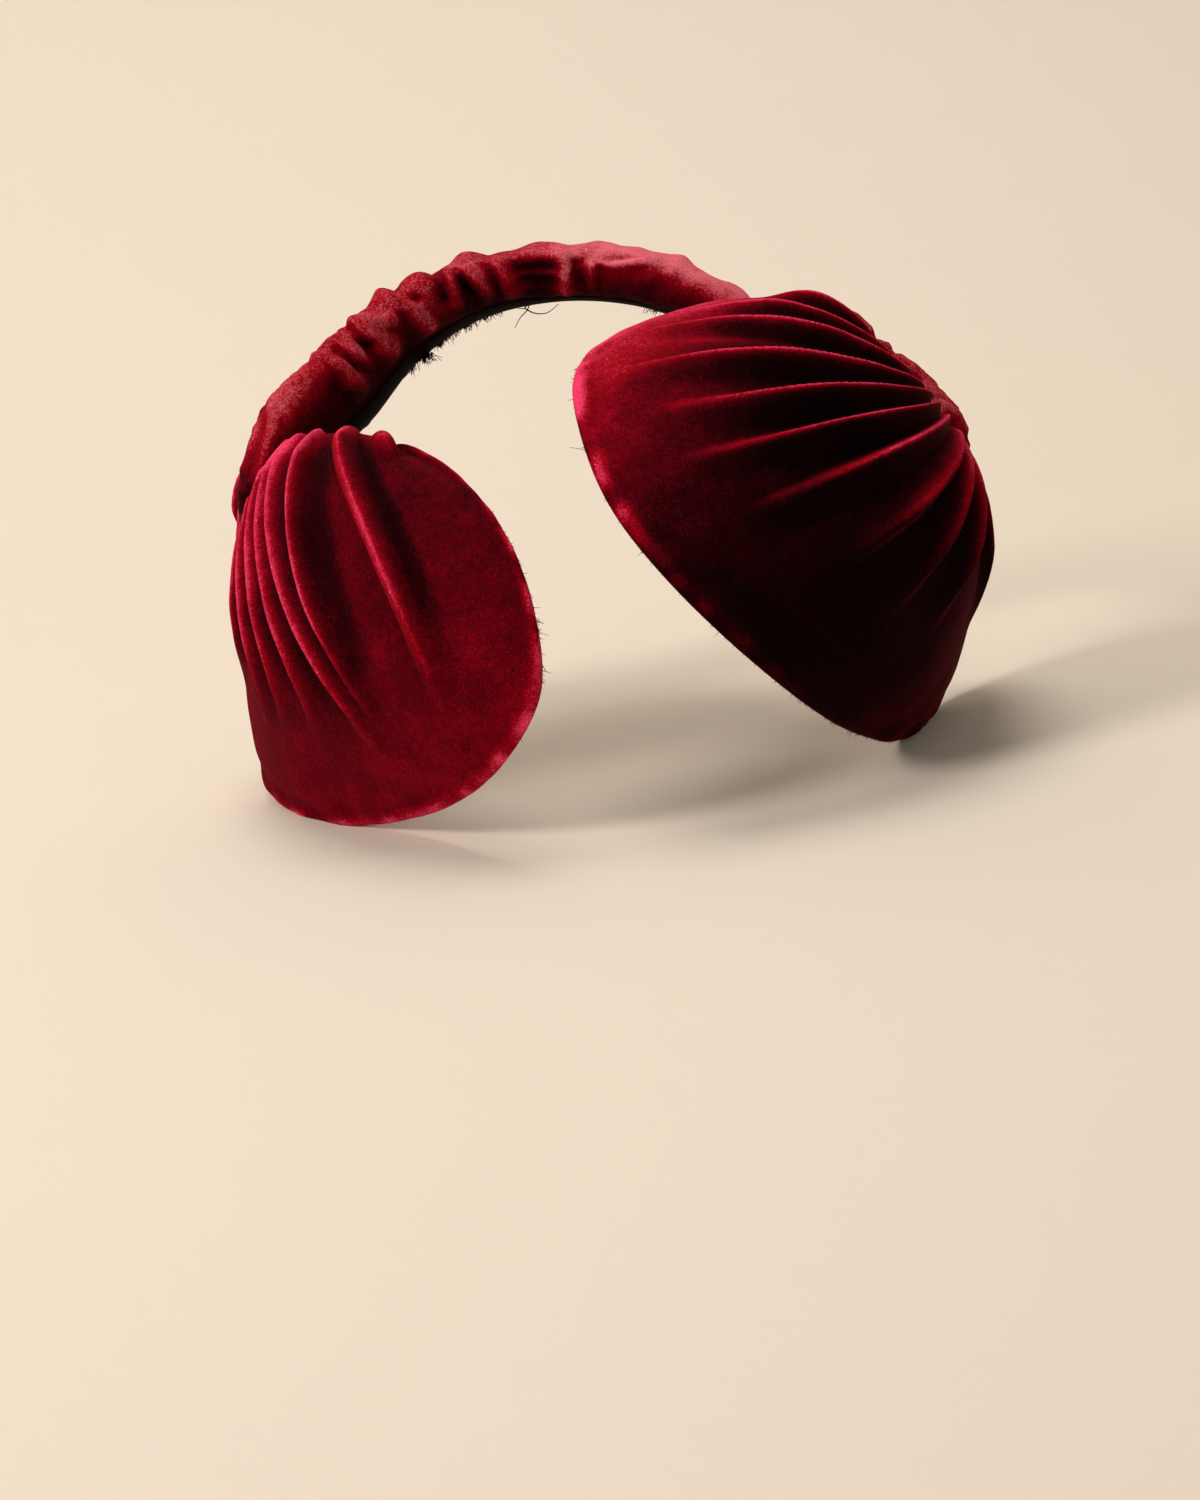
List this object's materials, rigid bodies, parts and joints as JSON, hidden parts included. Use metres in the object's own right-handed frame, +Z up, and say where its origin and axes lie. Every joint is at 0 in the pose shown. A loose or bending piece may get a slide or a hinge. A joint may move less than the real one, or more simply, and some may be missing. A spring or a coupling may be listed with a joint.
{
  "type": "velvet half hat",
  "caption": "Half hat of deep red velvet: stiff pleated fans at the temple and brow, gathered onto a ruched padded band that arches over the crown.",
  "frame": {"origin": "centre of the bounding box on the surface that the hat stands on", "axes": "+Z up in the standing pose, -Y the front of the hat towards the viewer, +X towards the viewer's right"},
  "size_m": [0.2082, 0.1386, 0.1388],
  "materials": {
    "velvet": "deep crimson pile velvet with a pinkish sheen along the ridges and near-black valleys",
    "ribbon": "dull dark brown ribbon"
  },
  "bodies": {
    "root": {"left_fan": "velvet", "right_fan": "velvet", "band_cover": "velvet", "band_lining": "ribbon"}
  },
  "joints": []
}
